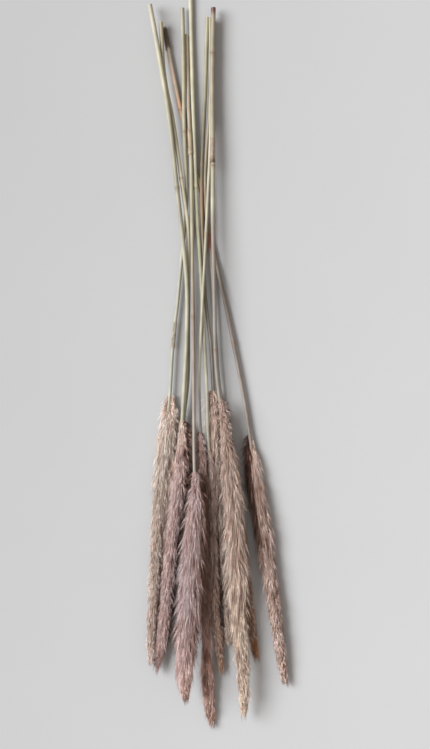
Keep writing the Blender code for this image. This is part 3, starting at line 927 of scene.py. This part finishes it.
def wisp_mesh(kind):
    """A wisp, 1 high: needles that overlap along a bowed line and draw together at its tip."""
    rng = random.Random(kind)
    bm = bmesh.new()
    uv = bm.loops.layers.uv.new("strand")
    tip_share = bm.verts.layers.float.new("tip")
    columns = WISP_BRISTLES // MAP_ROWS

    def on_wisp(share, side):
        bow = Vector((WISP_BOW * 4 * share * (1 - share), 0, share))
        return bow + side * (1 - DRAWN_IN * share)

    for bristle in range(WISP_BRISTLES):
        turn = 2 * math.pi * rng.random()
        side = Vector((math.cos(turn), math.sin(turn), 0)) * WISP_SPREAD * rng.uniform(0.1, 1)
        start = BRISTLE_STARTS[bristle % len(BRISTLE_STARTS)] * rng.uniform(0.8, 1.15)
        end = start + BRISTLE_SHARE * rng.uniform(0.85, 1.1)
        foot = on_wisp(start, side)
        drift = Vector((rng.uniform(-1, 1), rng.uniform(-1, 1), 0)) * WISP_SPREAD * DRIFT
        point = bm.verts.new(on_wisp(end, side) + drift)
        point[tip_share] = end
        radius = BRISTLE_RADIUS * rng.uniform(0.75, 1.25)
        ring = []
        for k in range(NEEDLE_SIDES):
            a = 2 * math.pi * k / NEEDLE_SIDES + turn
            vert = bm.verts.new(foot + Vector((math.cos(a), math.sin(a), 0)) * radius)
            vert[tip_share] = start
            ring.append(vert)
        corner = Vector((bristle % columns, bristle // columns))
        shape = [((ring[2], 0, 0), (ring[1], 1.5, CAP_TO), (ring[0], 3, 0))]
        for k in range(NEEDLE_SIDES):
            after = ring[(k + 1) % NEEDLE_SIDES]
            shape.append(((ring[k], k, SIDES_FROM), (after, k + 1, SIDES_FROM), (point, k + 0.5, 1)))
        for corners in shape:
            face = bm.faces.new([vert for vert, _, _ in corners])
            face.smooth = True
            for loop, (_, u, v) in zip(face.loops, corners):
                loop[uv].uv = ((corner.x + u / NEEDLE_SIDES) / columns, (corner.y + v) / MAP_ROWS)
    mesh = bpy.data.meshes.new(f"wisp_{kind}")
    bm.to_mesh(mesh)
    bm.free()
    return mesh


def wisp_kinds():
    """The kinds of wisp, in a collection of their own that isn't in the scene."""
    kinds = bpy.data.collections.new("wisp_kinds")
    for kind in range(WISP_KINDS):
        kinds.objects.link(bpy.data.objects.new(f"wisp_kind_{kind}", wisp_mesh(kind)))
    return kinds


def gathered(tree, given, goal):
    """A wisp's tip drawn towards its lock's middle, and the lock's own random value."""
    squeezed = vectors(tree, "DIVIDE", vectors(tree, "MULTIPLY", goal, LOCK_SHAPE), given["Lock"])
    cells = add(tree, "ShaderNodeTexVoronoi", {"Vector": squeezed, "Scale": 1})
    heart = vectors(tree, "MULTIPLY", cells["Position"], given["Lock"])
    heart = vectors(tree, "DIVIDE", heart, LOCK_SHAPE)
    pull = vectors(tree, "MULTIPLY", vectors(tree, "SUBTRACT", heart, goal), CLING_SHAPE)
    return moved(tree, goal, pull, CLING), parts(tree, cells["Color"])[0]


def furrowed(tree, given, goal):
    """How near a tip is to a furrow between two of the plume's long lobes, from 0 to 1."""
    squeezed = vectors(tree, "DIVIDE", vectors(tree, "MULTIPLY", goal, LOBE_SHAPE), given["Lobe"])
    cells = add(tree, "ShaderNodeTexVoronoi", {"Vector": squeezed, "Scale": 1}, feature="DISTANCE_TO_EDGE")
    return spread(tree, cells["Distance"], 1, 0, 0, FURROW)


def reached_under(tree, out, share, under):
    """How far to the right (or left, below 0) the hair beneath a plume reaches past its outline."""
    left, right, end = parts(tree, under)
    sideways, _, up = parts(tree, unit(tree, out))
    to_right = times(tree, maths(tree, "MAXIMUM", sideways, 0), right)
    to_left = times(tree, maths(tree, "MINIMUM", sideways, 0), left)
    low = spread(tree, up, 0, 1, *UNDER_FROM)
    far = times(tree, maths(tree, "ADD", to_right, to_left), low)
    lasting = spread(tree, share, 1, 0, maths(tree, "SUBTRACT", end, UNDER_FADE), end)
    return times(tree, far, lasting)


def mapped(tree, given, solid):
    """The strands' own map for baking: a square for each wisp, side by side in rows."""
    rows = maths(tree, "CEIL", maths(tree, "SQRT", given["Count"]))
    wisp = named(tree, "wisp")
    row = maths(tree, "FLOOR", maths(tree, "DIVIDE", wisp, rows))
    square = triple(tree, maths(tree, "MODULO", wisp, rows), row, 0)
    strand, wide = named(tree, "strand", "FLOAT_VECTOR"), 1 - 2 * MAP_EDGE
    inside = vectors(tree, "MULTIPLY_ADD", strand, (wide, wide, 0), (MAP_EDGE, MAP_EDGE, 0))
    spot = vectors(tree, "SCALE", vectors(tree, "ADD", square, inside), maths(tree, "DIVIDE", 1, rows))
    solid = stored(tree, solid, "OFBake", spot, "FLOAT2", "CORNER")
    for spent in ("strand", "wisp"):
        solid = add(tree, "GeometryNodeRemoveAttribute", {"Geometry": solid, "Name": spent})[0]
    return solid


def ends_along(tree, given, rachis, index):
    """Where a wisp begins and ends along the plume, as shares of its length."""
    seed = given["Seed"]
    place = maths(tree, "DIVIDE", maths(tree, "ADD", index, chance(tree, seed, 0, 1, 1)), given["Count"])
    thinned = spread(tree, maths(tree, "POWER", chance(tree, seed, 0, 1, 8), 2), 1, THINNED)
    place = times(tree, place, thinned)
    near = point_round(tree, rachis, place, 0)[2]
    reach = maths(tree, "MAXIMUM", vectors(tree, "LENGTH", near), LEAST_REACH)
    varied = chance(tree, seed, *WISP_LENGTHS, 2)
    length = times(tree, times(tree, WISP_LENGTH, reach), varied)
    length = times(tree, length, spread(tree, place, SHORTEST_AT_FOOT, 1, 0, FOOT))
    stretch = maths(tree, "DIVIDE", length, add(tree, "GeometryNodeCurveLength", {0: rachis})[0])
    foot_share = times(tree, place, maths(tree, "SUBTRACT", 1, stretch))
    return foot_share, maths(tree, "ADD", foot_share, stretch)


def aimed(tree, seed, centre, ahead, out, share):
    """Where a wisp's tip heads for, near the outline or astray from it, and how far out it is."""
    outer = maths(tree, "POWER", chance(tree, seed, 0, 1, 6), OUTWARD)
    astray = maths(tree, "LESS_THAN", chance(tree, seed, 0, 1, 7), STRAYS)
    flown = maths(tree, "MULTIPLY_ADD", astray, STRAY_REACH, GOAL[0])
    goal = moved(tree, centre, out, maths(tree, "MULTIPLY_ADD", outer, GOAL[1], flown))
    goal = moved(tree, goal, unit(tree, out), times(tree, astray, STRAY_LEAST))
    flight = times(tree, maths(tree, "POWER", chance(tree, seed, 0, 1, 12), 2), TIP_FLIGHT)
    flight = times(tree, flight, spread(tree, share, 0, 1, FLIGHT_FROM, 1))
    return moved(tree, goal, ahead, flight), outer


def darkness(tree, out, outer, worn, furrow, aside):
    """How much painted shade a wisp gets: from 0 at the outline to 1 inside, and more beneath, on a shaded
    flank, in a furrow and past the outline.
    """
    beneath = times(tree, parts(tree, unit(tree, out))[2], -BENEATH_SHADE)
    inner = maths(tree, "MAXIMUM", maths(tree, "MULTIPLY_ADD", outer, -INNER_FADE, 1), beneath)
    inner = maths(tree, "MULTIPLY_ADD", worn, FLANK_SHADE, inner)
    inner = maths(tree, "MULTIPLY_ADD", furrow, FURROW_SHADE, inner)
    return maths(tree, "MULTIPLY_ADD", maths(tree, "ABSOLUTE", aside), UNDER_SHADE / MM, inner)


def bristle_tree():
    """Wisps round a rachis in the golden angle, each from near the rachis to the plume's outline."""
    tree, given, rachis, index = new_tree(
        "bristle_wisps", Lock="Float", Lobe="Float", Worn="Vector", Under="Vector",
    )
    seed = given["Seed"]
    foot_share, tip_share = ends_along(tree, given, rachis, index)
    turn = maths(tree, "ADD", times(tree, index, GOLDEN_ANGLE), chance(tree, seed, *WISP_TURNS, 3))
    centre, _, foot_out = point_round(tree, rachis, foot_share, turn)
    foot = moved(tree, centre, foot_out, chance(tree, seed, *WISP_FEET, 5))
    turn = maths(tree, "ADD", turn, chance(tree, seed, *TIP_TURNS, 4))
    centre, ahead, out = point_round(tree, rachis, tip_share, turn)
    goal, outer = aimed(tree, seed, centre, ahead, out, tip_share)
    furrow = furrowed(tree, given, goal)
    aside = reached_under(tree, out, tip_share, given["Under"])
    tip, lock_value = gathered(tree, given, vectors(tree, "ADD", goal, triple(tree, aside, 0, 0)))
    risen = times(tree, maths(tree, "SUBTRACT", lock_value, RAISED_FROM), RELIEF)
    tip = moved(tree, tip, out, maths(tree, "MULTIPLY_ADD", furrow, -FURROW_DEPTH, risen))
    way = vectors(tree, "SUBTRACT", tip, foot)
    thick = chance(tree, seed, *THICKNESSES, 9)
    size = triple(tree, thick, thick, vectors(tree, "LENGTH", way))
    # Painted shade: wisps on a shaded flank are thinned out and painted darker
    worn = on_shaded_flank(tree, out, tip_share, given["Worn"])
    lasting = maths(tree, "LESS_THAN", times(tree, worn, FLANK_THINNING), chance(tree, seed, 0, 1, 11))
    left = times(tree, covered(tree, foot_out, foot_share, given["Bare"]), lasting)
    own_tone = chance(tree, seed, 0, 1 - LOCK_TONE, 10)
    tone = maths(tree, "MULTIPLY_ADD", lock_value, LOCK_TONE, own_tone)
    placed = set_on(
        tree, given, foot, left, turned_to(tree, way, out), size, tone=tone, share=tip_share,
        inner=darkness(tree, out, outer, worn, furrow, aside), wisp=index,
    )
    solid = add(tree, "GeometryNodeRealizeInstances", {0: placed})[0]
    finished(tree, given, mapped(tree, given, solid))
    return tree


def bristle_material(name, colours, dull):
    """Silky dry bristles: brown at the foot, paler out, duller in patches, and darker with painted shade
    inside the plume, beneath it, on its shaded flank, in furrows and past its outline.
    """
    made, tree, shader = new_material(name)
    place = add(tree, "ShaderNodeTexCoord")["Object"]
    patches = noise(tree, stretched(tree, place, DULL_PATCHES), 1, 3)
    silk = ramp(tree, kept(tree, "share")["Fac"], colours)
    silk = mixed(tree, "MIX", spread(tree, patches, 0, 1, *DULL_RANGE), silk, (*dull, 1))
    root = spread(tree, kept(tree, "tip")["Fac"], 0.9, 0, 0.02, 0.4)
    inner = kept(tree, "inner")["Fac"]
    silk = mixed(tree, "MULTIPLY", maths(tree, "MAXIMUM", root, inner), silk, (*ROOT_SHADE, 1))
    silk = mixed(tree, "MULTIPLY", spread(tree, inner, 0, 1, *DEEP_RANGE), silk, (*DEEP_SHADE_COLOUR, 1))
    silk = toned(tree, silk, spread(tree, kept(tree, "tone")["Fac"], *TONE_LIGHT))
    fill(tree, shader, {
        "Base Color": silk, "Roughness": 0.7, "Specular IOR Level": 0.3, "Sheen Weight": 0.1,
    })
    return made


kinds = wisp_kinds()
wisps = bristle_tree()
for number, (slot, outline) in PLUMES.items():
    _, s, _, left, right = rachis_line(number, outline)
    wide = (left + right).mean() / 2
    material = bristle_material(f"plume_{number:02}_silk", *BRISTLES[number])
    left, right, end = UNDER.get(number, (0.0, 0.0, 0.0))
    bristles = grown(
        "bristles", number, outline, wisps, Lock=wide * LOCK, Lobe=wide * LOBE, Kinds=kinds,
        Count=min(MOST_WISPS, round(wide * s[-1] * WISPS_PER_AREA)), Seed=number * 100,
        Worn=SHADED_FLANKS.get(number, (0.0, 0.0, 0.0)), Under=(left * MM, right * MM, end), Material=material,
    )
    new_piece(bristles.name, bristles, material, slot, f"plume_{number:02}")

# The surface: a plain pale sheet under the bunch, a little below its lowest point. It is faintly
# cloudy, and painted paler on the side away from the lamp, as painted light.
FLOOR_SIZE = 16
FLOOR_RANGE = (0.87, 1.13)
FLOOR_BELOW = 0.3 * MM
FLOOR_COLOUR = (0.428, 0.429, 0.4265)
FLOOR_PAINTED_LIGHT = (0.45, -0.145, 0)
CLOUDS = 9
CLOUD_LIGHT = (0.98, 1.02)

floor_mesh = bpy.data.meshes.new("floor")
half, level = FLOOR_SIZE / 2, cad_box[0].z - FLOOR_BELOW
corners = ((-half, -half), (half, -half), (half, half), (-half, half))
floor_mesh.from_pydata([(x, y, level) for x, y in corners], [], [(0, 1, 2, 3)])
floor = in_scene("floor", floor_mesh)
paper, paper_tree, paper_shader = new_material("pale_sheet")
place = add(paper_tree, "ShaderNodeTexCoord")["Object"]
clouds = spread(paper_tree, noise(paper_tree, place, CLOUDS, 4), *CLOUD_LIGHT)
tint = toned(paper_tree, (*FLOOR_COLOUR, 1), clouds)
paler = vectors(paper_tree, "DOT_PRODUCT", place, FLOOR_PAINTED_LIGHT)
paler = spread(paper_tree, paler, *FLOOR_RANGE, FLOOR_RANGE[0] - 1, FLOOR_RANGE[1] - 1)
fill(paper_tree, paper_shader, {"Base Color": toned(paper_tree, tint, paler), "Roughness": 0.9})
floor_mesh.materials.append(paper)

# Light: one large soft lamp from the upper left, over the even glow of a pale room. The lamp is a
# little cool and the glow a little warm.
LAMP_SIZE = 4.8
LAMP_AT = Vector((-5.4, 1.2, 4.9))
LAMP_POWER = 910
LAMP_COLOUR = (0.975, 1, 1.035)
ROOM_GLOW = 0.49
ROOM_COLOUR = (1.05, 0.975, 0.93)

lamp_data = bpy.data.lights.new("soft_lamp", "AREA")
lamp_data.shape = "DISK"
lamp_data.size = LAMP_SIZE
lamp_data.energy = LAMP_POWER
lamp_data.color = LAMP_COLOUR
lamp = in_scene("soft_lamp", lamp_data)
lamp.location = LAMP_AT
lamp.rotation_euler = (-LAMP_AT).to_track_quat("-Z", "Y").to_euler()
room = bpy.data.worlds.new("room")
room.use_nodes = True
glow = room.node_tree.nodes["Background"]
glow.inputs["Color"].default_value = (*ROOM_COLOUR, 1)
glow.inputs["Strength"].default_value = ROOM_GLOW
bpy.context.scene.world = room

# Camera: straight above the bunch, with the cut ends at the top of the picture. The lens makes a
# pixel its named size at a height a little above the surface, where most of the grass lies.
PICTURE = (430, 749)
PIXEL = 0.95 * MM
CAMERA_HEIGHT = 1.6
SHARP_AT = 10 * MM
AIMED_AT = (-2.4 * MM, -12.35 * MM)
SENSOR = 36

camera_data = bpy.data.cameras.new("camera")
camera_data.sensor_width = SENSOR
camera_data.lens = SENSOR * (CAMERA_HEIGHT - SHARP_AT) / (max(PICTURE) * PIXEL)
camera = in_scene("camera", camera_data)
camera.location = (*AIMED_AT, CAMERA_HEIGHT)
bpy.context.scene.camera = camera
bpy.context.scene.view_settings.view_transform = "Standard"
